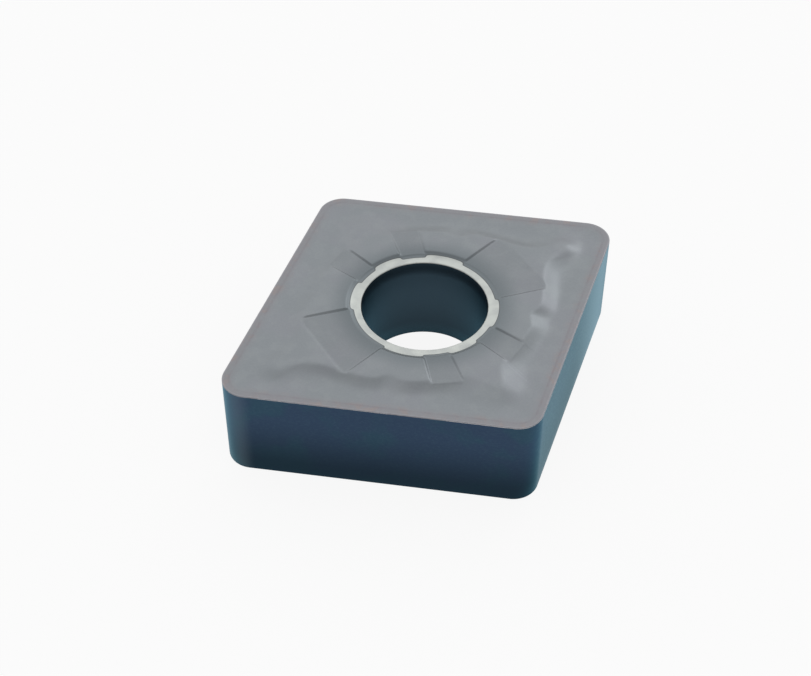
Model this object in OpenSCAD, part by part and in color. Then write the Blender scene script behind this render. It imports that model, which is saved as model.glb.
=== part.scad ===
// Rhombic turning insert, 80 degree corners, with a pressed chip former on its upper face.
// Pressed and sintered in one piece: one solid, with nothing inside it.
// Origin at the middle of the flat seat, +Z towards the chip former, acute corners on the X axis.

/* [Blank] */
// Circle that touches all four flanks
inscribed_circle = 19.05; // [17:0.05:24]
// Angle of the two acute corners
corner_angle = 80; // [78:0.5:82]
// Radius of all four noses, seen from above
nose_radius = 1.6; // [1.2:0.1:2.4]
// Seat to cutting edge
thickness = 6.35; // [4.76:0.01:9.52]

/* [Hole] */
// Through hole for the clamping pin
hole_diameter = 7.94; // [6.35:0.01:8.3]
// Break of the hole's upper rim
rim_break = 0.04; // [0.02:0.01:0.1]
// Chamfer of the hole at the seat
seat_chamfer = 0.17; // [0.05:0.01:0.4]

/* [Contact ring] */
// Outer diameter of the bright, dished ring round the hole
ring_diameter = 9.3; // [9.1:0.02:9.6]
// Outer rim of the ring above the cutting edge
ring_height = 0.13; // [0.08:0.01:0.17]
// Ring above the cutting edge where the pads end at it
ring_root_height = 0.04; // [0:0.01:0.07]
// Ring below the cutting edge at the hole
ring_dish = 0.02; // [0:0.01:0.06]
// Run of the slope from the ring's outer rim up to the island
ring_crest_run = 0.14; // [0.05:0.01:0.3]

/* [Chip groove] */
// Flat land along the cutting edge
land_width = 0.25; // [0.1:0.01:0.5]
// Edge to the lowest line of the groove
valley_distance = 1.4; // [1.1:0.05:1.6]
// Depth of the groove under the cutting edge
groove_depth = 0.18; // [0.1:0.01:0.3]

/* [Island] */
// Island above the cutting edge
island_height = 0.22; // [0.18:0.01:0.35]
// Rounding where two walls of the island meet, seen from above
wall_blend = 0.28; // [0.1:0.01:0.4]
// Edge to the top of the long wall beside an acute corner
long_wall_distance = 2.26; // [2.1:0.01:2.5]
// Run of the long wall from its top to its foot
long_wall_run = 1.1; // [0.6:0.05:1.3]
// Turn of the long wall away from the cutting edge
long_wall_turn = 13; // [6:0.5:16]
// Edge to the top of the short wall beside an obtuse corner
short_wall_distance = 2.72; // [2.4:0.01:2.9]
// Run of the short wall from its top to its foot
short_wall_run = 1; // [0.5:0.05:1.3]
// Turn of the short wall the other way
short_wall_turn = 9; // [5:0.5:12]
// Edge to the inner corner of the step between the two walls
step_distance = 3.2; // [2.9:0.01:3.4]
// Middle of the side to that step, towards the acute corner
step_shift = 1.17; // [0.6:0.01:1.6]
// Run of both walls of the step
step_run = 0.9; // [0.6:0.05:1.1]
// Obtuse nose tip to the end of the short wall, along the diagonal
short_wall_gap = 5.15; // [4.8:0.05:5.5]
// Run of the short wall's end
short_wall_end_run = 0.85; // [0.5:0.05:1]

/* [Corner ridges] */
// Acute nose tip to the top of its ridge's end
acute_ridge_gap = 2.87; // [2.7:0.01:3.2]
// Acute nose tip to the point where the sides of its ridge would meet
acute_ridge_apex = 1.8; // [1.6:0.05:2]
// Angle of each side of an acute ridge to its middle line
acute_ridge_taper = 15; // [12:0.5:18]
// Run of the sides and the end of an acute ridge
acute_ridge_run = 0.88; // [0.6:0.02:1]
// Fall of an acute ridge along its length
acute_ridge_fall = 0.14; // [0.05:0.01:0.2]
// Acute nose tip to the place where its ridge starts to fall
acute_fall_start = 5.4; // [5:0.1:5.8]
// Length over which an acute ridge falls
acute_fall_length = 1.4; // [1:0.1:1.8]
// Acute nose tip to the middle of the bump on its ridge
acute_bump_gap = 3.0; // [2.9:0.01:3.4]
// Radius of the foot of that bump
acute_bump_radius = 0.85; // [0.6:0.05:1]
// Rise of the bump over the ridge
acute_bump_rise = 0.06; // [0.03:0.01:0.12]
// Obtuse nose tip to the top of its ridge's end
obtuse_ridge_gap = 3.15; // [3:0.01:3.5]
// Obtuse nose tip to the point where the sides of its ridge would meet
obtuse_ridge_apex = 2.2; // [2:0.05:2.5]
// Angle of each side of an obtuse ridge to its middle line
obtuse_ridge_taper = 20; // [16:0.5:24]
// Run of the sides and the end of an obtuse ridge
obtuse_ridge_run = 1.2; // [0.8:0.05:1.3]
// Fall of an obtuse ridge along its length
obtuse_ridge_fall = 0.05; // [0:0.01:0.15]
// Obtuse nose tip to the place where its ridge starts to fall
obtuse_fall_start = 4.9; // [4.5:0.1:5.2]
// Length over which an obtuse ridge falls
obtuse_fall_length = 1.9; // [1.5:0.1:2.2]

/* [Pads] */
// Diameter at which the pads end at the ring
pad_root_diameter = 8.82; // [8.6:0.02:9]
// Pad floor above the cutting edge at the ring
pad_floor = 0.02; // [-0.05:0.01:0.04]
// Slope of the pad floors, rising outwards
pad_slope = 1.7; // [1:0.1:2.5]
// Slope of the pads' walls from the upright
pad_draft = 40; // [10:1:50]
// Radius of the pads' outer corners at the floor
pad_corner = 0.15; // [0.05:0.01:0.3]
// Centre to the outer end of the two wide pads
wide_pad_reach = 7.35; // [6.8:0.05:7.6]
// Half width of a wide pad at the ring
wide_pad_root = 1.95; // [1.6:0.05:2.2]
// Spread of each side of a wide pad
wide_pad_spread = 14.5; // [8:0.5:20]
// Centre to the outer end of the four narrow pads
narrow_pad_reach = 7.75; // [7.2:0.05:8]
// Half width of the four narrow pads at the ring
narrow_pad_root = 0.7; // [0.5:0.01:0.9]
// Spread of each side of a narrow pad
narrow_pad_spread = 3.5; // [0:0.5:6]
// Turn of a narrow pad from the line through the obtuse corners
narrow_pad_turn = 17; // [12:0.5:20]
// Sideways shift of a narrow pad from the centre
narrow_pad_shift = 0.43; // [0.2:0.01:0.7]

/* [Hidden] */
$fn = 96;

// Blank
half_ic = inscribed_circle / 2;
flank_turn = 90 - corner_angle / 2;
acute_tip = (half_ic - nose_radius) / cos(flank_turn) + nose_radius;
obtuse_tip = (half_ic - nose_radius) / sin(flank_turn) + nose_radius;
top_z = thickness + island_height;
past = 1;

// Step in the middle of each side, from the distances along and across it
step_x = (half_ic - step_distance) * cos(flank_turn) + step_shift * sin(flank_turn);
step_y = (half_ic - step_distance) * sin(flank_turn) - step_shift * cos(flank_turn);

// Centre to the sides of the corner ridges
acute_side = (acute_tip - acute_ridge_apex) * sin(acute_ridge_taper);
obtuse_side = (obtuse_tip - obtuse_ridge_apex) * sin(obtuse_ridge_taper);

// Walls of the island in one quarter: direction faced, centre to top edge, run down to the groove
acute_wedge = [
    [flank_turn - long_wall_turn, half_ic - long_wall_distance, long_wall_run],
    [90, step_y, step_run]
];
side_bump = [
    [flank_turn + short_wall_turn, half_ic - short_wall_distance, short_wall_run],
    [0, step_x, step_run],
    [90, obtuse_tip - short_wall_gap, short_wall_end_run]
];
acute_ridge = [
    [90 - acute_ridge_taper, acute_side, acute_ridge_run],
    [0, acute_tip - acute_ridge_gap, acute_ridge_run]
];
obtuse_ridge = [
    [obtuse_ridge_taper, obtuse_side, obtuse_ridge_run],
    [90, obtuse_tip - obtuse_ridge_gap, obtuse_ridge_run]
];
island_lobes = [acute_wedge, side_bump, acute_ridge, obtuse_ridge];

// Sections of the chip former, taken round the axis
section_count = 2 * $fn;
crowding = 0.05;
wall_steps = [1, 0.8, 0.6, 0.4, 0.2, 0];
top_steps = [0.2, 0.4, 0.6, 0.8, 1];
least_run = 0.3;
crest_round = 0.03;
crest_run = 0.5;
grazing = 0.02;

// The smaller or the larger of two values, with a rounded join
function soft_min(a, b, k) = (a + b - sqrt((a - b) * (a - b) + k * k)) / 2;
function soft_max(a, b, k) = (a + b + sqrt((a - b) * (a - b) + k * k)) / 2;
function clamp(a) = min(max(a, 0), 1);
function ease(a) = clamp(a) * clamp(a) * (3 - 2 * clamp(a));

// Direction of a section, closer together at the corners
function section_angle(i) = 360 * i / section_count
    - crowding * 90 * sin(1440 * i / section_count);
function folded(t) = asin(abs(sin(t)));

// Reach from the axis to the outline, moved inwards by inset
function outline_reach(t, inset) =
    let (nose = nose_radius - inset,
         core = half_ic - nose_radius,
         acute_core = core / cos(flank_turn),
         obtuse_core = core / sin(flank_turn),
         acute_end = atan2(nose * sin(flank_turn), acute_core + nose * cos(flank_turn)),
         obtuse_end = atan2(obtuse_core + nose * sin(flank_turn), nose * cos(flank_turn)))
    t < acute_end ? acute_core * cos(t) + sqrt(pow(nose, 2) - pow(acute_core * sin(t), 2))
    : t > obtuse_end ? obtuse_core * sin(t) + sqrt(pow(nose, 2) - pow(obtuse_core * cos(t), 2))
    : (half_ic - inset) / cos(t - flank_turn);

// Reach to a wall, to a lobe's walls and to the whole island; part is 0 at the top and 1 at the foot
function wall_reach(wall, t, part) = (wall[1] + part * wall[2]) / max(cos(t - wall[0]), grazing);
function lobe_reach(lobe, t, part, i = 0) = i == len(lobe) - 1 ? wall_reach(lobe[i], t, part)
    : soft_min(wall_reach(lobe[i], t, part), lobe_reach(lobe, t, part, i + 1), wall_blend);
function island_reach(t, part, i = 0) =
    i == len(island_lobes) - 1 ? lobe_reach(island_lobes[i], t, part)
    : soft_max(lobe_reach(island_lobes[i], t, part), island_reach(t, part, i + 1), wall_blend);

// Height of the rake face and groove, by distance in from the cutting edge
function groove_height(inset) =
    -groove_depth * ease((inset - land_width) / (valley_distance - land_width));

// Height of the island's top, with its falling corner ridges and the bump near each acute nose
function roof_height(x, y) =
    let (acute_fall = acute_ridge_fall * ease((x - acute_tip + acute_fall_start) / acute_fall_length),
         obtuse_fall = obtuse_ridge_fall * ease((y - obtuse_tip + obtuse_fall_start) / obtuse_fall_length),
         bump = ease(1 - norm([x - acute_tip + acute_bump_gap, y]) / acute_bump_radius))
    island_height - max(acute_fall, obtuse_fall) + acute_bump_rise * bump;

// Reach to where the corner ridges start to fall
function fall_reach(t) = min((acute_tip - acute_fall_start) / max(cos(t), grazing),
                             (obtuse_tip - obtuse_fall_start) / max(sin(t), grazing));

// One section: points [reach, height] from outside the cutting edge to the top of the island
function section(t) =
    let (foot = min(island_reach(t, 1), outline_reach(t, valley_distance) - grazing),
         crest = min(island_reach(t, 0), foot - least_run),
         inner = min(crest - crest_run, fall_reach(t)))
    concat(
        [for (inset = [-past, land_width, (land_width + valley_distance) / 2, valley_distance])
            [outline_reach(t, inset), groove_height(inset)]],
        [for (part = wall_steps)
            let (reach = crest + (foot - crest) * part,
                 roof = roof_height(reach * cos(t), reach * sin(t)) - crest_round)
            [reach, roof - (roof + groove_depth) * ease(part)]],
        [for (part = top_steps)
            let (reach = crest + (inner - crest) * part,
                 roof = roof_height(reach * cos(t), reach * sin(t)))
            [reach, roof + crest_round * (2 * part - 1)]]
    );

// Solid over the chip former: the sections joined into a skin, closed above the blank
module chip_former_cut() {
    rows = [for (i = [0 : section_count - 1])
        let (t = section_angle(i),
             line = section(folded(t)),
             last = len(line) - 1)
        [for (p = concat(line, [[line[last][0], island_height + past], [line[0][0], island_height + past]]))
            [p[0] * cos(t), p[0] * sin(t), thickness + p[1]]]];
    size = len(rows[0]);
    points = [for (row = rows) for (p = row) p];
    faces = [for (i = [0 : section_count - 1], j = [0 : size - 1])
        let (i2 = (i + 1) % section_count,
             j2 = (j + 1) % size)
        for (face = [[i * size + j, i2 * size + j, i * size + j2],
                     [i2 * size + j, i2 * size + j2, i * size + j2]]) face];
    polyhedron(points, faces, convexity = 8);
}

// Blank: straight flanks joined by round noses
module blank() {
    core = half_ic - nose_radius;
    noses = [[core / cos(flank_turn), 0], [0, core / sin(flank_turn)],
             [-core / cos(flank_turn), 0], [0, -core / sin(flank_turn)]];
    turns = [-flank_turn, flank_turn, 180 - flank_turn, 180 + flank_turn];
    linear_extrude(top_z) {
        polygon([for (i = [0 : 3], side = [0, 1])
            noses[i] + nose_radius * [cos(turns[(i + side) % 4]), sin(turns[(i + side) % 4])]]);
        for (nose = noses) translate(nose) circle(nose_radius);
    }
}

// Dished ring round the hole, rising to the island outside the pads' root
module ring_cut() {
    ring_r = ring_diameter / 2;
    rotate_extrude()
        polygon([
            [0, thickness - ring_dish],
            [hole_diameter / 2, thickness - ring_dish],
            [pad_root_diameter / 2, thickness + ring_root_height],
            [ring_r, thickness + ring_height],
            [ring_r + ring_crest_run, top_z],
            [ring_r + ring_crest_run, top_z + past],
            [0, top_z + past]
        ]);
}

// Plan of a pad, moved outwards by grow, with round outer corners; x is measured from the ring's root
function pad_plan(root, spread, far, grow) =
    let (corner_x = far - pad_corner,
         corner_y = root + corner_x * tan(spread) - pad_corner / cos(spread),
         near_y = root + grow / cos(spread) - past * tan(spread),
         turns = [for (i = [0 : 4]) (90 + spread) * i / 4],
         corner = [for (a = turns) [corner_x, corner_y] + (pad_corner + grow) * [cos(a), sin(a)]])
    concat([for (i = [0 : 4]) [corner[4 - i][0], -corner[4 - i][1]]], corner,
           [[-past, near_y], [-past, -near_y]]);

// Sloping pocket that widens outwards from the ring, with sloping walls
module pad(root, spread, reach) {
    root_r = pad_root_diameter / 2;
    low = pad_plan(root, spread, reach - root_r, 0);
    high = pad_plan(root, spread, reach - root_r, past * tan(pad_draft));
    size = len(low);
    points = concat([for (p = low) [p[0], p[1], 0]], [for (p = high) [p[0], p[1], past]]);
    sides = [for (i = [0 : size - 1])
        let (next = (i + 1) % size)
        for (face = [[i, i + size, next], [next, i + size, next + size]]) face];
    floor_face = [for (i = [0 : size - 1]) i];
    roof_face = [for (i = [size - 1 : -1 : 0]) i + size];
    translate([root_r, 0, thickness + pad_floor])
        rotate([0, -pad_slope, 0])
            polyhedron(points, concat([floor_face, roof_face], sides), convexity = 2);
}

// Two wide and four narrow pads, ending at the ring's root
module pad_cuts() {
    difference() {
        union() {
            for (side = [0, 180]) rotate(side) pad(wide_pad_root, wide_pad_spread, wide_pad_reach);
            for (side = [0, 180], hand = [0, 1])
                mirror([hand, 0, 0])
                    rotate(90 - narrow_pad_turn + side)
                        translate([0, -narrow_pad_shift, 0])
                            pad(narrow_pad_root, narrow_pad_spread, narrow_pad_reach);
        }
        cylinder(h = top_z + past, d = pad_root_diameter);
    }
}

// Through hole with its two broken rims
module hole_cut() {
    hole_r = hole_diameter / 2;
    rim_z = thickness - ring_dish;
    rotate_extrude()
        polygon([
            [0, -past],
            [hole_r + seat_chamfer, -past],
            [hole_r + seat_chamfer, 0],
            [hole_r, seat_chamfer],
            [hole_r, rim_z - rim_break],
            [hole_r + 2 * rim_break, rim_z + rim_break],
            [hole_r + 2 * rim_break, top_z + past],
            [0, top_z + past]
        ]);
}

module insert_body() {
    color([0.36, 0.42, 0.47])
        difference() {
            blank();
            chip_former_cut();
            ring_cut();
            pad_cuts();
            hole_cut();
        }
}

insert_body();
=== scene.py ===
import math
from types import SimpleNamespace

import bpy
from mathutils import Matrix, Vector


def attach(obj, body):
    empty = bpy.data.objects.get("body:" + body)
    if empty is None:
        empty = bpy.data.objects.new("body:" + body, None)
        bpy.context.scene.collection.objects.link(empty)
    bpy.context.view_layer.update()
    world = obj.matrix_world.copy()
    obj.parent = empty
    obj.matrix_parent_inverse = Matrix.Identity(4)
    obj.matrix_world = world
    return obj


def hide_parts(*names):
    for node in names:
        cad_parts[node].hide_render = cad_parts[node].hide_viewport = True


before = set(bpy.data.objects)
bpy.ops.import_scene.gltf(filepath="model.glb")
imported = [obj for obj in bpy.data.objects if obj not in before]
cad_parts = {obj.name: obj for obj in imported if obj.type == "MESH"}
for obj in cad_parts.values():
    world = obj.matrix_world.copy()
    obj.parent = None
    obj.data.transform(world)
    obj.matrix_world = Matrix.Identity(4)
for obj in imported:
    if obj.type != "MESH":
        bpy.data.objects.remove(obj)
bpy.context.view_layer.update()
print("frame: loaded")

mm = 0.001
degree = math.pi / 180


def colour(red, green, blue):
    # a colour given 0 to 255, as the linear value that a shader takes
    linear = [((v / 255 + 0.055) / 1.055) ** 2.4 if v > 10 else v / 255 / 12.92 for v in (red, green, blue)]
    return (*linear, 1.0)


# Node trees, written as expressions. The same class serves shaders and Geometry Nodes.

class Wire:
    def __init__(self, tree, socket):
        self.tree = tree
        self.socket = socket

    def other(self, name):  # another output of the same node
        return Wire(self.tree, self.socket.node.outputs[name])

    def __add__(self, value): return calc("ADD", self, value)
    def __radd__(self, value): return calc("ADD", value, self)
    def __sub__(self, value): return calc("SUBTRACT", self, value)
    def __rsub__(self, value): return calc("SUBTRACT", value, self)
    def __mul__(self, value): return calc("MULTIPLY", self, value)
    def __rmul__(self, value): return calc("MULTIPLY", value, self)
    def __truediv__(self, value): return calc("DIVIDE", self, value)
    def __rtruediv__(self, value): return calc("DIVIDE", value, self)
    def __neg__(self): return calc("MULTIPLY", self, -1)
    def __abs__(self): return calc("ABSOLUTE", self)


def plug(tree, socket, value):
    if isinstance(value, Wire):
        tree.links.new(value.socket, socket)
    else:
        socket.default_value = value


def calc(operation, *values, clamp=False):
    tree = next(v.tree for v in values if isinstance(v, Wire))
    node = tree.nodes.new("ShaderNodeMath")
    node.operation = operation
    node.use_clamp = clamp
    for socket, value in zip(node.inputs, values):
        plug(tree, socket, value)
    return Wire(tree, node.outputs[0])


def least(a, b): return calc("MINIMUM", a, b)
def most(a, b): return calc("MAXIMUM", a, b)
def over(a, b): return calc("GREATER_THAN", a, b)
def root(a): return calc("SQRT", most(a, 0.0))
def sine(a): return calc("SINE", a)
def cosine(a): return calc("COSINE", a)
def tangent(a): return calc("TANGENT", a)
def span(x, y): return calc("SQRT", x * x + y * y)
def softLeast(a, b, k): return (a + b - calc("SQRT", (a - b) * (a - b) + k * k)) * 0.5
def softMost(a, b, k): return (a + b + calc("SQRT", (a - b) * (a - b) + k * k)) * 0.5
def between(a, b, share): return share * (b - a) + a


def ease(a):
    t = calc("ADD", a, 0.0, clamp=True)
    return t * t * (3.0 - 2.0 * t)


def rise(a, ends):  # 0 at the first end, 1 at the second
    return ease((a - ends[0]) / (ends[1] - ends[0]))


class Graph:
    def __init__(self, tree):
        self.tree = tree

    def add(self, kind, settings=None, values=None, output=0):
        node = self.tree.nodes.new(kind)
        for name, value in (settings or {}).items():
            if name == "points":
                fillCurve(node.mapping, value)
            else:
                setattr(node, name, value)
        for name, value in (values or {}).items():
            plug(self.tree, node.inputs[name], value)
        return Wire(self.tree, node.outputs[output]) if node.outputs else None

    def mixColour(self, share, a, b, blend="MIX"):
        settings = {"data_type": "RGBA", "blend_type": blend}
        return self.add("ShaderNodeMix", settings, {0: share, 6: a, 7: b}, output=2)

    def darkened(self, share, a):
        return self.mixColour(share, a, (0.0, 0.0, 0.0, 1.0))

    def mottled(self, share, a, speck):  # light and dark by a noise
        grey = self.add("ShaderNodeCombineXYZ", {}, {"X": speck, "Y": speck, "Z": speck})
        return self.mixColour(share, a, grey, "OVERLAY")

    def scaled(self, vector, factor):
        return self.add("ShaderNodeVectorMath", {"operation": "SCALE"}, {0: vector, "Scale": factor})

    def stretched(self, vector, factors):
        return self.add("ShaderNodeVectorMath", {"operation": "MULTIPLY"}, {0: vector, 1: factors})

    def attribute(self, name):
        return self.add("ShaderNodeAttribute", {"attribute_name": name}, output="Fac")


def fillCurve(mapping, points):
    curve = mapping.curves[0]
    while len(curve.points) < len(points):
        curve.points.new(0.5, 0.5)
    for point, (x, y) in zip(curve.points, points):
        point.location = (x, y)
        point.handle_type = "VECTOR"
    mapping.update()


# Materials

def newMaterial(name):
    material = bpy.data.materials.new(name)
    material.use_nodes = True
    material.node_tree.nodes.clear()
    return material, Graph(material.node_tree)


def finishMaterial(graph, values, bump):
    shader = graph.add("ShaderNodeBsdfPrincipled", {}, {**values, "Normal": bump})
    graph.add("ShaderNodeOutputMaterial", {}, {"Surface": shader})


def bumpOf(graph, height, distance, strength, normal=None):
    values = {"Height": height, "Distance": distance, "Strength": strength}
    if normal is not None:
        values["Normal"] = normal
    return graph.add("ShaderNodeBump", {}, values)


def noiseOf(graph, vector, pattern):
    scale, detail, roughness = pattern
    values = {"Vector": vector, "Scale": scale, "Detail": detail, "Roughness": roughness}
    return graph.add("ShaderNodeTexNoise", {}, values)


# In the looks below a noise is its scale, detail and roughness, and a range is where a share
# starts and where it is full. Places, widths and depths are in millimetres.

rakeLook = {
    "grey": colour(139, 144, 148),
    "violet": colour(144, 145, 152),
    "violetNoise": (0.28, 3.0, 0.55),
    "violetRange": (0.44, 0.60),
    "violetShare": 0.3,
    "pale": colour(148, 153, 156),
    "paleNoise": (0.8, 3.0, 0.6),
    "paleRange": (0.45, 0.65),
    "paleShare": 0.35,
    "byRing": colour(121, 128, 132),  # darker beside the ring
    "byRingRange": (4.6, 6.4),
    # painted shade on the pads' recessed floors
    "padPaintedShade": 0.07,
    "haze": colour(143, 137, 141),  # a warmer band along the cutting edge
    "hazeRange": (0.95, 0.1),
    "hazeShare": 0.9,
    "blotch": colour(158, 143, 137),
    "blotchNoise": (1.1, 3.0, 0.6),
    "blotchRange": (0.54, 0.64),
    "blotchShare": 0.35,
    "line": colour(126, 119, 124),  # thin brown line beside the edge
    "lineInset": 0.42,
    "lineHalfWidth": 0.13,
    "lineRange": (0.2273, 0.6818),  # of the blotches' noise
    "lineShare": 0.34,
    # painted highlight along the cutting edge
    "border": colour(172, 172, 178),
    "paintedHighlightRange": (0.14, 0.0),
    "paintedHighlightShare": 0.45,
    "raggedNoise": (6.0, 3.0, 0.6),
    "raggedDepth": 0.12,
    "speckNoise": (9.0, 3.0, 0.7),
    "speckShare": 0.1,
    "ring": colour(207, 211, 207),
    "ringDark": colour(190, 194, 192),
    "ringNoise": (1.3, 2.0, 0.45),
    "ringRange": (0.3, 0.7),
    "bareRange": (0.35, 0.65),  # of the change from coating to bare metal
    "rim": colour(84, 84, 82),  # thin dark line between ring and coating
    "rimPlace": 0.22,  # its middle in that change
    "rimShare": 0.85,
    "roughness": 0.35,
    "roughnessSpread": 0.1,
    "ringRoughness": 0.46,
    "ringRoughnessSpread": 0.12,
    "grainNoise": (26.0, 2.0, 0.5),
    "grainDepth": 0.002,
    "grainStrength": 0.6,
    "ringSmoothness": 0.7,
    "waveNoise": (1.6, 2.0, 0.5),
    "waveDepth": 0.004,
    "waveStrength": 0.5,
}


def makeRakeCoating():
    look = rakeLook
    material, graph = newMaterial("rakeCoating")
    place = graph.add("ShaderNodeTexCoord", output="Object")
    spot = graph.scaled(place, 1 / mm)
    axes = graph.add("ShaderNodeSeparateXYZ", {}, {"Vector": spot})
    radius = span(axes, axes.other("Y"))
    bare = graph.attribute("groundRing")
    inset = graph.attribute("edgeInset") * (1 / mm)

    patches = rise(noiseOf(graph, spot, look["violetNoise"]), look["violetRange"])
    coat = graph.mixColour(patches * look["violetShare"], look["grey"], look["violet"])
    soft = rise(noiseOf(graph, spot, look["paleNoise"]), look["paleRange"])
    coat = graph.mixColour(soft * look["paleShare"], coat, look["pale"])
    coat = graph.mixColour(rise(radius, look["byRingRange"]), look["byRing"], coat)
    # painted shade: the recessed pad floors are darkened
    coat = graph.darkened(graph.attribute("padFloor") * look["padPaintedShade"], coat)

    # along the cutting edge: a haze, its blotches, a thin line and a painted highlight at the very edge
    ragged = noiseOf(graph, spot, look["raggedNoise"])
    blotch = noiseOf(graph, spot, look["blotchNoise"])
    uneven = inset + (ragged - 0.5) * look["raggedDepth"]
    haze = rise(uneven, look["hazeRange"])
    coat = graph.mixColour(haze * (blotch * look["hazeShare"]), coat, look["haze"])
    warm = haze * rise(blotch, look["blotchRange"])
    coat = graph.mixColour(warm * look["blotchShare"], coat, look["blotch"])
    line = ease(1.0 - abs(uneven - look["lineInset"]) / look["lineHalfWidth"])
    coat = graph.mixColour(line * rise(blotch, look["lineRange"]) * look["lineShare"], coat, look["line"])
    coat = graph.mixColour(rise(uneven, look["paintedHighlightRange"]) * look["paintedHighlightShare"], coat, look["border"])
    speck = noiseOf(graph, spot, look["speckNoise"])
    coat = graph.mottled(look["speckShare"], coat, speck)

    scratch = noiseOf(graph, spot, look["ringNoise"])
    ground = graph.mixColour(rise(scratch, look["ringRange"]), look["ringDark"], look["ring"])
    base = graph.mixColour(rise(bare, look["bareRange"]), coat, ground)
    rimLine = ease(1.0 - abs(bare - look["rimPlace"]) / look["rimPlace"])
    base = graph.mixColour(rimLine * look["rimShare"], base, look["rim"])

    coatRough = look["roughness"] + (speck - 0.5) * look["roughnessSpread"]
    ringRough = look["ringRoughness"] + (scratch - 0.5) * look["ringRoughnessSpread"]
    rough = between(coatRough, ringRough, bare)
    waves = noiseOf(graph, spot, look["waveNoise"])
    bump = bumpOf(graph, waves, look["waveDepth"] * mm, look["waveStrength"])
    grain = noiseOf(graph, spot, look["grainNoise"]) * (1.0 - bare * look["ringSmoothness"])
    bump = bumpOf(graph, grain, look["grainDepth"] * mm, look["grainStrength"], bump)
    finishMaterial(graph, {"Base Color": base, "Metallic": 1.0, "Roughness": rough}, bump)
    return material


flankLook = {
    "blue": colour(51, 66, 88),
    "teal": colour(49, 71, 88),
    "tealNoise": (0.35, 3.0, 0.55),
    "tealRange": (0.42, 0.62),
    "speckNoise": (9.0, 3.0, 0.7),
    "speckShare": 0.1,
    "rightX": (0.0, 2.0),  # the flank between +X and -Y is mottled, and darker, partly its coating's own tone and partly painted shade
    "rightY": (0.0, -2.0),
    "rightPaintedShade": 0.45,
    "fleck": colour(100, 132, 138),
    "fleckStretch": (1.0, 1.0, 1.8),
    "fleckNoise": (4.5, 3.0, 0.65),
    "fleckRange": (0.47, 0.63),
    "fleckShare": 0.04,
    "rightFleckShare": 0.64,
    "low": colour(20, 28, 36),  # painted shade, darker towards the seat
    "paintedShadeLowRange": (5.2, 0.0),
    "paintedShadeLowShare": 0.85,
    "end": colour(126, 142, 150),  # painted reflection: paler towards the acute noses, on the mottled flank most of all
    "paintedSheenRange": (6.5, 13.5),
    "paintedNoseSheenRange": (13.0, 13.8),
    "paintedNoseSheenShare": 0.17,
    "bore": colour(62, 80, 92),
    "boreReach": 5.0,
    # painted shade, darker deeper in the bore
    "borePaintedShadeRange": (4.5, 0.0),
    "borePaintedShade": 0.5,
    "boreRoughness": 0.14,
    "edge": colour(128, 124, 130),  # the top's coating comes round the edge
    "edgeFrom": 0.075,
    "edgeTo": 0.025,
    "raggedNoise": (3.5, 4.0, 0.7),
    "raggedDepth": 0.12,
    "roughness": 0.36,
    "roughnessSpread": 0.12,
    "grainNoise": (22.0, 2.0, 0.5),
    "grainDepth": 0.0025,
    "grainStrength": 0.6,
    "tint": (0.61, 0.88, 1.0, 1.0),
}


def makeFlankCoating(topZ):
    look = flankLook
    material, graph = newMaterial("flankCoating")
    place = graph.add("ShaderNodeTexCoord", output="Object")
    spot = graph.scaled(place, 1 / mm)
    axes = graph.add("ShaderNodeSeparateXYZ", {}, {"Vector": spot})
    x, y, height = axes, axes.other("Y"), axes.other("Z")

    clouds = rise(noiseOf(graph, spot, look["tealNoise"]), look["tealRange"])
    coat = graph.mixColour(clouds, look["blue"], look["teal"])
    speck = noiseOf(graph, spot, look["speckNoise"])
    coat = graph.mottled(look["speckShare"], coat, speck)
    right = rise(x, look["rightX"]) * rise(y, look["rightY"])
    flat = graph.stretched(spot, look["fleckStretch"])
    flecks = rise(noiseOf(graph, flat, look["fleckNoise"]), look["fleckRange"])
    fleckShare = between(look["fleckShare"], look["rightFleckShare"], right)
    coat = graph.mixColour(flecks * fleckShare, coat, look["fleck"])
    # painted shade: the flank is darker towards the seat
    coat = graph.mixColour(rise(height, look["paintedShadeLowRange"]) * look["paintedShadeLowShare"], coat, look["low"])
    # painted shade, partly the coating's own tone, darkens the mottled flank
    coat = graph.darkened(right * look["rightPaintedShade"], coat)
    # painted reflection: the flank is paler towards the acute noses
    paintedSheen = most(right * rise(x, look["paintedSheenRange"]), rise(abs(x), look["paintedNoseSheenRange"]) * look["paintedNoseSheenShare"])
    coat = graph.mixColour(paintedSheen, coat, look["end"])

    inBore = over(look["boreReach"], span(x, y))
    coat = graph.mixColour(inBore, coat, look["bore"])
    # painted shade: the bore darkens towards its bottom
    coat = graph.darkened(inBore * rise(height, look["borePaintedShadeRange"]) * look["borePaintedShade"], coat)
    ragged = (noiseOf(graph, spot, look["raggedNoise"]) - 0.5) * look["raggedDepth"]
    lip = rise(height + ragged, (topZ - look["edgeFrom"], topZ - look["edgeTo"]))
    base = graph.mixColour(lip, coat, look["edge"])

    rough = look["roughness"] + (speck - 0.5) * look["roughnessSpread"] + inBore * look["boreRoughness"]
    grain = noiseOf(graph, spot, look["grainNoise"])
    bump = bumpOf(graph, grain, look["grainDepth"] * mm, look["grainStrength"])
    values = {"Base Color": base, "Metallic": 1.0, "Roughness": rough, "Specular Tint": look["tint"]}
    finishMaterial(graph, values, bump)
    return material


seatLook = {
    "light": colour(176, 179, 179),
    "dark": colour(148, 152, 153),
    "lightRange": (0.35, 0.65),
    "scratchStretch": (0.35, 7.0, 1.0),  # ground along X
    "scratchNoise": (1.6, 4.0, 0.6),
    "scratchDepth": 0.0012,
    "scratchStrength": 0.6,
    "roughness": 0.34,
    "roughnessSpread": 0.15,
}


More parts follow.
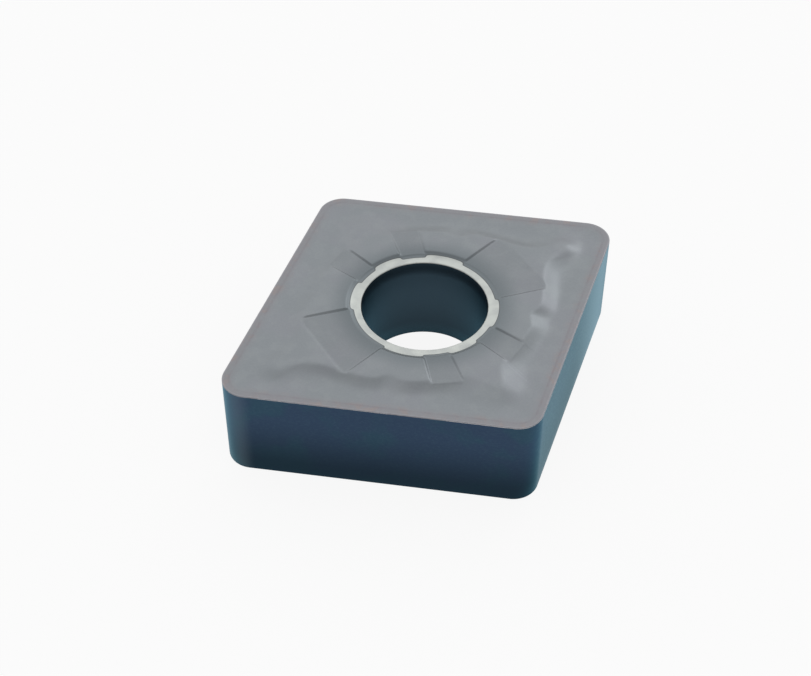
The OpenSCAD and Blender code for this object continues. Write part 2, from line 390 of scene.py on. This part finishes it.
def makeGroundSeat():
    look = seatLook
    material, graph = newMaterial("groundSeat")
    place = graph.add("ShaderNodeTexCoord", output="Object")
    spot = graph.scaled(place, 1 / mm)
    scratch = noiseOf(graph, graph.stretched(spot, look["scratchStretch"]), look["scratchNoise"])
    base = graph.mixColour(rise(scratch, look["lightRange"]), look["dark"], look["light"])
    rough = look["roughness"] + (scratch - 0.5) * look["roughnessSpread"]
    bump = bumpOf(graph, scratch, look["scratchDepth"] * mm, look["scratchStrength"])
    finishMaterial(graph, {"Base Color": base, "Metallic": 1.0, "Roughness": rough}, bump)
    return material


# Insert body: one skin of bands swept round the hole, each placed by the insert's own rules.
# Lengths in millimetres. Names that end in Turn, Angle, Spread, Slope or Taper are degrees, and
# names that end in Share are plain shares. Heights are counted from the cutting edge.

insertSizes = {
    "inscribedCircle": 19.05,
    "cornerAngle": 80,
    "noseRadius": 1.6,
    "thickness": 6.35,
    "holeDiameter": 7.94,
    "rimBreak": 0.04,
    "seatChamfer": 0.17,
    "ringDiameter": 8.82,
    "rimHeight": 0.0,  # the ring at the hole
    "ringHeight": 0.022,  # and at its outside
    "ringEndDiameter": 9.3,  # as far as bare metal reaches between the pads
    "ringCrestRound": 0.05,
    "edgeRound": 0.04,
    "seatEdgeRound": 0.05,
    "landWidth": 0.08,
    "valleyDistance": 1.9,  # from the cutting edge to the bottom of the groove
    "grooveDepth": 0.15,
    "islandHeight": 0.2,
    "wallBlend": 0.45,  # rounding where two walls meet
    "neckBlend": 0.25,
    "crestShare": 0.05,  # rounding at the top of a wall, as a share of its run
    "footShare": 0.42,  # and at its foot
    "longWallDistance": 2.15,  # from the flank in to the top of the wall
    "longWallRun": 0.92,
    "longWallTurn": 16.2,
    "shortWallDistance": 2.79,
    "shortWallRun": 0.95,
    "shortWallTurn": 11.8,
    "stepDistance": 3.3,  # the step's corner, in from the flank and along it
    "stepShift": 1.133,
    "stepRun": 0.9,
    "bumpEndGap": 5.29,  # from the obtuse tip
    "bumpEndRun": 1.0,
    "acuteRidgeGap": 3.6,  # from the tip to the end of the ridge
    "acuteRidgeRun": 0.95,
    "acuteRidgeApex": 2.66,  # and to the point where its sides would meet
    "acuteRidgeTaper": 14.74,
    "knobGap": 3.45,
    "knobRadius": 0.214,
    "knobRun": 1.12,
    "obtuseRidgeGap": 3.23,
    "obtuseRidgeRun": 1.45,
    "obtuseRidgeApex": 2.34,
    "obtuseRidgeTaper": 17.45,
    "acuteFall": 0.036,  # the island is lower towards the acute noses
    "acuteFallFrom": 5.84,
    "acuteFallRun": 1.55,
    "padFloor": 0.1,
    "padSlope": 0.8,
    "padWall": 0.22,
    "rootCorner": 0.16,
    "padCorner": 0.16,
    "widePadReach": 7.34,  # from the hole's axis
    "widePadRoot": 1.94,  # half its width at the ring
    "widePadSpread": 14.8,
    "narrowPadReach": 7.76,
    "narrowPadRoot": 0.69,
    "narrowPadSpread": 3.8,
    "narrowPadTurn": 17.1,  # against the line to the obtuse nose
    "narrowPadShift": 0.43,
    "edgeZone": 0.3,  # close rows beside the cutting edge
    "ringZone": 0.2,  # and this far past the ring
    "ringFade": 0.13,  # widths over which the finish changes
    "padFade": 0.06,
    "padDepthFade": 0.03,
}

# Sections of one quarter: how many, and where they end at the ring and at the cutting edge, in degrees.
# They are close together along the walls of the pads and round the noses.
quarterSections = [
    (9, 5.5, 5.24), (15, 24.0, 18.9), (10, 26.3, 20.9), (44, 57.4, 64.3), (10, 59.7, 65.9),
    (18, 76.4, 77.0), (10, 78.6, 78.6), (8, 84.5, 84.9), (10, 90.0, 90.0),
]

# Rows of the ring's band: how many, and where they end between its outside and the hole.
ringRows = [(20, 0.55), (5, 0.955), (3, 1.0)]

# Rows of the bands, from one border of each to the other.
bandRows = {"edge": 12, "relief": 88, "bore": 6, "chamfer": 2, "seat": 4, "lowEdge": 5, "flank": 6}
smoothRounds = 5  # rounds of blur over the relief
weldDistance = 0.0008  # points closer than this become one


def curvePoints(zones, column, whole):  # points of a curve that ends each zone at its value
    count = sum(zone[0] for zone in zones)
    points, done = [(0, 0)], 0
    for zone in zones:
        done += zone[0]
        points.append((done / count, zone[column] / whole))
    return points


def buildInsertTree(sizes, rake, flank, seat):
    tree = bpy.data.node_groups.new("insertBodyShape", "GeometryNodeTree")
    graph = Graph(tree)
    tree.interface.new_socket("Geometry", in_out="OUTPUT", socket_type="NodeSocketGeometry")
    inputs = {n: tree.interface.new_socket(n, in_out="INPUT", socket_type="NodeSocketFloat") for n in sizes}
    source = tree.nodes.new("NodeGroupInput")
    s = SimpleNamespace(**{n: Wire(tree, source.outputs[n]) for n in sizes})

    # values that several rules share
    half = s.inscribedCircle * 0.5
    quarter = 90 * degree
    flankTurn = quarter - s.cornerAngle * 0.5
    flankX = cosine(flankTurn)
    flankY = sine(flankTurn)
    acuteCore = (half - s.noseRadius) / flankX
    obtuseCore = (half - s.noseRadius) / flankY
    acuteTip = acuteCore + s.noseRadius
    obtuseTip = obtuseCore + s.noseRadius
    holeR = s.holeDiameter * 0.5
    ringR = s.ringDiameter * 0.5
    endR = s.ringEndDiameter * 0.5
    ringOuter = endR + s.ringZone

    # direction and corner of each section
    count = sum(zone[0] for zone in quarterSections)
    atRing = curvePoints(quarterSections, 1, 90)
    atEdge = curvePoints(quarterSections, 2, 90)
    spot = graph.add("GeometryNodeInputPosition")
    spotAxes = graph.add("ShaderNodeSeparateXYZ", {}, {"Vector": spot})
    around = (spotAxes + 0.5) * 4.0
    across = spotAxes.other("Y") + 0.5
    folded = calc("PINGPONG", around, 1.0)
    signX = calc("SIGN", cosine(around * quarter))
    signY = calc("SIGN", sine(around * quarter))
    ringTurn = graph.add("ShaderNodeFloatCurve", {"points": atRing}, {"Value": folded}) * quarter
    edgeTurn = graph.add("ShaderNodeFloatCurve", {"points": atEdge}, {"Value": folded}) * quarter
    ringX, ringY = cosine(ringTurn), sine(ringTurn)
    edgeX, edgeY = cosine(edgeTurn), sine(edgeTurn)

    def outline(inset):  # reach of the outline along the section at the edge
        hair = 1e-7  # keeps a section through a corner of the outline on one side of it
        nose = s.noseRadius - inset
        acute = acuteCore * edgeX + root(nose * nose - acuteCore * edgeY * acuteCore * edgeY)
        obtuse = obtuseCore * edgeY + root(nose * nose - obtuseCore * edgeX * obtuseCore * edgeX)
        straight = (half - inset) / (edgeX * flankX + edgeY * flankY)
        byAcute = over((acuteCore + nose * flankX) * edgeY, nose * flankY * edgeX - hair)
        byObtuse = over(nose * flankX * edgeY, (obtuseCore + nose * flankY) * edgeX - hair)
        return between(between(acute, straight, byAcute), obtuse, byObtuse)

    def band(rows, x, y, z, material):
        grid = graph.add("GeometryNodeMeshGrid", {}, {
            "Size X": 1.0, "Size Y": 1.0, "Vertices X": 4 * count + 1, "Vertices Y": rows + 1})
        goal = graph.add("ShaderNodeCombineXYZ", {}, {"X": x * signX, "Y": y * signY, "Z": z})
        placed = graph.add("GeometryNodeSetPosition", {}, {"Geometry": grid, "Position": goal})
        return graph.add("GeometryNodeSetMaterial", {}, {"Geometry": placed, "Material": material})

    def weld(mesh):
        return graph.add("GeometryNodeMergeByDistance", {}, {"Geometry": mesh, "Distance": weldDistance * mm})

    def store(mesh, name, value):
        keep = {"data_type": "FLOAT", "domain": "POINT"}
        values = {"Geometry": mesh, "Name": name, "Value": value}
        return graph.add("GeometryNodeStoreNamedAttribute", keep, values)

    def recall(name):
        return graph.add("GeometryNodeInputNamedAttribute", {"data_type": "FLOAT"}, {"Name": name})

    def join(*parts):
        node = tree.nodes.new("GeometryNodeJoinGeometry")
        for part in reversed(parts):
            tree.links.new(part.socket, node.inputs[0])
        return Wire(tree, node.outputs[0])

    # rake face in plan, from the cutting edge in to the rim of the hole
    reach = outline(s.edgeZone * across * across)
    edgeBand = band(bandRows["edge"], reach * edgeX, reach * edgeY, 0.0, rake)
    inner = outline(s.edgeZone)
    reliefX = between(inner * edgeX, ringOuter * ringX, across)
    reliefY = between(inner * edgeY, ringOuter * ringY, across)
    reliefBand = band(bandRows["relief"], reliefX, reliefY, 0.0, rake)
    inward = graph.add("ShaderNodeFloatCurve", {"points": curvePoints(ringRows, 1, 1)}, {"Value": across})
    ringReach = between(ringOuter, holeR, inward)
    ringBand = band(sum(zone[0] for zone in ringRows), ringReach * ringX, ringReach * ringY, 0.0, rake)

    # height of the rake face over a point of the plan
    x = abs(spotAxes)
    y = abs(spotAxes.other("Y"))
    radius = span(x, y)
    insetFlank = half - (x * flankX + y * flankY)
    pastAcute = over((x - acuteCore) * flankY, y * flankX)
    pastObtuse = over((y - obtuseCore) * flankX, x * flankY)
    inset = between(insetFlank, s.noseRadius - span(x - acuteCore, y), pastAcute)
    inset = between(inset, s.noseRadius - span(x, y - obtuseCore), pastObtuse)
    inset = most(inset, 0.0)
    groove = -s.grooveDepth * ease((inset - s.landWidth) / (s.valleyDistance - s.landWidth))

    def wall(turn, distance, run):  # 0 along the top of a wall, 1 along its foot
        return (x * cosine(turn) + y * sine(turn) - distance) / run

    acuteSide = (acuteTip - s.acuteRidgeApex) * sine(s.acuteRidgeTaper)
    obtuseSide = (obtuseTip - s.obtuseRidgeApex) * sine(s.obtuseRidgeTaper)
    stepX = (half - s.stepDistance) * flankX + s.stepShift * flankY
    stepY = (half - s.stepDistance) * flankY - s.stepShift * flankX
    blend = s.wallBlend / s.stepRun
    acuteWedge = softMost(
        wall(flankTurn - s.longWallTurn, half - s.longWallDistance, s.longWallRun),
        (y - stepY) / s.stepRun, blend)
    sideBump = softMost(
        wall(flankTurn + s.shortWallTurn, half - s.shortWallDistance, s.shortWallRun),
        softMost((x - stepX) / s.stepRun, (y - (obtuseTip - s.bumpEndGap)) / s.bumpEndRun, blend), blend)
    acuteRidge = softMost(
        wall(quarter - s.acuteRidgeTaper, acuteSide, s.acuteRidgeRun),
        (x - (acuteTip - s.acuteRidgeGap)) / s.acuteRidgeRun, blend)
    obtuseRidge = softMost(
        wall(s.obtuseRidgeTaper, obtuseSide, s.obtuseRidgeRun),
        (y - (obtuseTip - s.obtuseRidgeGap)) / s.obtuseRidgeRun, blend)
    knob = (span(x - (acuteTip - s.knobGap), y) - s.knobRadius) / s.knobRun
    acuteEnd = softLeast(acuteRidge, knob, s.neckBlend / s.stepRun)
    part = softLeast(softLeast(acuteWedge, sideBump, blend), softLeast(acuteEnd, obtuseRidge, blend), blend)

    roof = s.islandHeight - s.acuteFall * ease((x - acuteTip + s.acuteFallFrom) / s.acuteFallRun)
    down = softLeast(softMost(part, 0.0, s.crestShare), 1.0, s.footShare)  # rounded crest and foot
    island = between(roof, groove, down)

    # the pressed walls are rounded all over, so the island's height is smoothed over the mesh
    rakeFace = store(weld(join(edgeBand, reliefBand, ringBand)), "height", island)
    height = graph.add("GeometryNodeBlurAttribute", {"data_type": "FLOAT"}, {
        "Value": recall("height"), "Iterations": smoothRounds, "Weight": 1.0})

    # ring: dished, flat at the hole and rising ever more steeply to the island
    outward = (radius - holeR) / (ringR - holeR)
    ringTop = s.rimHeight + (s.ringHeight - s.rimHeight) * outward * outward * outward
    height = softLeast(height, ringTop, s.ringCrestRound)

    # pads: pockets with sloping floors
    def pocket(along, aside, rootWidth, spread, end):
        wide = rootWidth + (along - ringR) * tangent(spread)
        inside = softLeast(wide - abs(aside), end - along, s.padCorner)
        inside = softLeast(inside, radius - ringR, s.rootCorner)
        floor = s.padFloor + (along - ringR) * tangent(s.padSlope)
        return inside, floor

    padTurn = quarter - s.narrowPadTurn
    wideInside, wideFloor = pocket(x, y, s.widePadRoot, s.widePadSpread, s.widePadReach)
    narrowInside, narrowFloor = pocket(
        x * cosine(padTurn) + y * sine(padTurn),
        y * cosine(padTurn) - x * sine(padTurn) + s.narrowPadShift,
        s.narrowPadRoot, s.narrowPadSpread, s.narrowPadReach)
    padInside = most(wideInside, narrowInside)
    cutDepth = height - least(wideFloor, narrowFloor)
    padShare = ease(cutDepth / s.padDepthFade) * ease(padInside / s.padFade + 0.5)
    height = between(height, least(height, wideFloor), ease(wideInside / s.padWall + 1.0))
    height = between(height, least(height, narrowFloor), ease(narrowInside / s.padWall + 1.0))

    # the hole's rim is broken, and bare metal shows on the ring and between the pads
    height = least(height, s.rimHeight - (holeR + s.rimBreak - radius))
    lobe = softLeast(endR - radius, -padInside - s.padWall * 0.5, s.rootCorner)
    bareInside = softMost(ringR - radius, lobe, s.rootCorner * 0.5)
    bare = ease(bareInside / s.ringFade + 0.5)

    # the cutting edge's own small round
    edgePart = most(1.0 - inset / s.edgeRound, 0.0)
    height = height - s.edgeRound * (1.0 - root(1.0 - edgePart * edgePart))

    # the height last, because the others are worked out from the one before it
    fields = {"groundRing": bare, "padFloor": padShare, "edgeInset": inset, "height": height}
    for name, value in fields.items():
        rakeFace = store(rakeFace, name, value)
    lifted = graph.add("ShaderNodeCombineXYZ", {}, {
        "X": spotAxes, "Y": spotAxes.other("Y"), "Z": s.thickness + recall("height")})
    rakeFace = graph.add("GeometryNodeSetPosition", {}, {"Geometry": rakeFace, "Position": lifted})

    # bore, chamfer, seat, lower edge and flank
    chamferR = holeR + s.seatChamfer
    boreZ = between(s.thickness + s.rimHeight - s.rimBreak, s.seatChamfer, across)
    bore = band(bandRows["bore"], holeR * ringX, holeR * ringY, boreZ, flank)
    chamferReach = between(holeR, chamferR, across)
    chamferZ = s.seatChamfer * (1.0 - across)
    chamfer = band(bandRows["chamfer"], chamferReach * ringX, chamferReach * ringY, chamferZ, seat)
    low = outline(s.seatEdgeRound)
    seatX = between(chamferR * ringX, low * edgeX, across)
    seatY = between(chamferR * ringY, low * edgeY, across)
    seatBand = band(bandRows["seat"], seatX, seatY, 0.0, seat)
    lowTurn = across * quarter
    lowReach = outline(s.seatEdgeRound * (1.0 - sine(lowTurn)))
    lowZ = s.seatEdgeRound * (1.0 - cosine(lowTurn))
    lowBand = band(bandRows["lowEdge"], lowReach * edgeX, lowReach * edgeY, lowZ, flank)
    outer = outline(0.0)
    flankZ = between(s.seatEdgeRound, s.thickness - s.edgeRound, across)
    flankBand = band(bandRows["flank"], outer * edgeX, outer * edgeY, flankZ, flank)

    skin = weld(join(rakeFace, bore, chamfer, seatBand, lowBand, flankBand))
    skin = graph.add("GeometryNodeSetShadeSmooth", {}, {"Geometry": skin, "Shade Smooth": True})
    skin = graph.add("GeometryNodeRealizeInstances", {}, {"Geometry": skin})
    output = tree.nodes.new("NodeGroupOutput")
    tree.links.new(skin.socket, output.inputs[0])
    return tree, inputs


def realValue(name, value):  # metres, radians or a plain share
    if name.endswith("Share"):
        return value
    return value * (degree if name.endswith(("Turn", "Angle", "Spread", "Slope", "Taper")) else mm)


def makeInsertBody():
    rake = makeRakeCoating()
    flank = makeFlankCoating(insertSizes["thickness"])
    seat = makeGroundSeat()
    print("coatings: rake, flank and seat")
    tree, inputs = buildInsertTree(insertSizes, rake, flank, seat)
    holder = bpy.data.objects.new("insertHolder", bpy.data.meshes.new("insertHolder"))
    bpy.context.scene.collection.objects.link(holder)
    shape = holder.modifiers.new("shape", "NODES")
    shape.node_group = tree
    for name, value in insertSizes.items():
        shape[inputs[name].identifier] = realValue(name, value)
    holder.update_tag()
    depsgraph = bpy.context.evaluated_depsgraph_get()
    mesh = bpy.data.meshes.new_from_object(holder.evaluated_get(depsgraph), depsgraph=depsgraph)
    mesh.name = "insertBody"
    holder.modifiers.clear()
    bpy.data.objects.remove(holder)
    body = bpy.data.objects.new("insertBody", mesh)
    bpy.context.scene.collection.objects.link(body)
    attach(body, "root")
    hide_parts("insert_body")
    print(f"insertBody: {len(mesh.vertices)} points, {len(mesh.polygons)} faces, "
          f"{len(mesh.materials)} materials")


makeInsertBody()


# Stage: pale floor, soft light, camera at the photo's angle. Lengths in metres, turns in degrees.

stageLook = {
    "floorSize": 1.2,
    "floorWhite": 0.95,
    "floorGlow": 0.9,  # share of plain white that the camera and reflections see
    "skyLow": 0.56,
    "skyHigh": 1.02,  # a wide soft wall of light behind the insert, full up to 70 degrees
    "skyAzimuth": 66,
    "skySides": (0.50, 0.84),  # cosines of the turns where it ends and where it is full
    "skyTop": (1.03, 0.94),  # heights on a unit sphere where it ends and where it is full
    "skyFoot": 0.3,  # height where it has lost its darker foot
    "skyFootLevel": 0.7,  # its share of brightness at the floor
}


def makeFloor():
    mesh = bpy.data.meshes.new("floor")
    h = stageLook["floorSize"] / 2
    mesh.from_pydata([(-h, -h, 0), (h, -h, 0), (h, h, 0), (-h, h, 0)], [], [(0, 1, 2, 3)])
    floor = bpy.data.objects.new("floor", mesh)
    bpy.context.scene.collection.objects.link(floor)
    material, graph = newMaterial("paleFloor")
    white = stageLook["floorWhite"]
    diffuse = graph.add("ShaderNodeBsdfDiffuse", {}, {"Color": (white, white, white, 1)})
    glow = graph.add("ShaderNodeEmission", {}, {"Color": (1, 1, 1, 1), "Strength": 1.0})
    rays = graph.add("ShaderNodeLightPath", output="Is Camera Ray")
    seen = least(rays + rays.other("Is Glossy Ray") + rays.other("Is Transmission Ray"), 1.0)
    mixed = graph.add("ShaderNodeMixShader", {}, {0: seen * stageLook["floorGlow"], 1: diffuse, 2: glow})
    graph.add("ShaderNodeOutputMaterial", {}, {"Surface": mixed})
    mesh.materials.append(material)


def makeWorld():
    world = bpy.data.worlds.new("studio")
    bpy.context.scene.world = world
    world.use_nodes = True
    world.node_tree.nodes.clear()
    graph = Graph(world.node_tree)
    direction = graph.add("ShaderNodeTexCoord", output="Generated")
    axes = graph.add("ShaderNodeSeparateXYZ", {}, {"Vector": direction})
    x, y, z = axes, axes.other("Y"), axes.other("Z")
    turn = stageLook["skyAzimuth"] * degree
    facing = (x * math.cos(turn) + y * math.sin(turn)) / most(span(x, y), 0.01)
    wall = rise(facing, stageLook["skySides"]) * rise(z, stageLook["skyTop"])
    level = between(stageLook["skyLow"], stageLook["skyHigh"], wall)
    level = level * between(stageLook["skyFootLevel"], 1.0, ease(z / stageLook["skyFoot"]))
    rays = graph.add("ShaderNodeLightPath", output="Is Camera Ray")
    room = graph.add("ShaderNodeBackground", {}, {"Color": (1, 1, 1, 1), "Strength": level})
    white = graph.add("ShaderNodeBackground", {}, {"Color": (1, 1, 1, 1), "Strength": 1.0})
    mixed = graph.add("ShaderNodeMixShader", {}, {0: rays, 1: room, 2: white})
    graph.add("ShaderNodeOutputWorld", {}, {"Surface": mixed})


# Azimuth and elevation that a light shines from, distance, width, height and brightness.
softLights = {
    "rightBox": (23, 36, 0.8, 0.31, 0.24, 1.0),
}


def makeLights():
    for name, (azimuth, elevation, distance, width, height, glow) in softLights.items():
        light = bpy.data.lights.new(name, "AREA")
        light.shape = "RECTANGLE"
        light.size = width
        light.size_y = height
        light.energy = glow * math.pi * width * height
        lamp = bpy.data.objects.new(name, light)
        bpy.context.scene.collection.objects.link(lamp)
        a, e = azimuth * degree, elevation * degree
        lamp.location = Vector((math.cos(a) * math.cos(e), math.sin(a) * math.cos(e), math.sin(e))) * distance
        lamp.rotation_euler = (-lamp.location).to_track_quat("-Z", "Y").to_euler()


cameraPlace = {  # in millimetres, fitted to the outline of the insert in the photo
    "place": (-38.606, -61.140, 74.018),
    "aim": (-0.897, 0.810, 3.228),
    "roll": 0.22,
    "lens": 70.33,
    "sensor": 36,
    "near": 5,
    "far": 10000,
}


def makeCamera():
    camera = bpy.data.objects.new("camera", bpy.data.cameras.new("camera"))
    bpy.context.scene.collection.objects.link(camera)
    place = Vector(cameraPlace["place"]) * mm
    aim = Vector(cameraPlace["aim"]) * mm
    roll = Matrix.Rotation(cameraPlace["roll"] * degree, 3, "Z")
    turn = (aim - place).to_track_quat("-Z", "Y").to_matrix() @ roll
    camera.location = place
    camera.rotation_euler = turn.to_euler()
    camera.data.lens = cameraPlace["lens"]
    camera.data.sensor_width = cameraPlace["sensor"]
    camera.data.clip_start = cameraPlace["near"] * mm
    camera.data.clip_end = cameraPlace["far"] * mm
    bpy.context.scene.camera = camera


makeFloor()
makeWorld()
makeLights()
makeCamera()
bpy.context.scene.view_settings.view_transform = "Standard"
print("stage: floor, world, lights and camera")
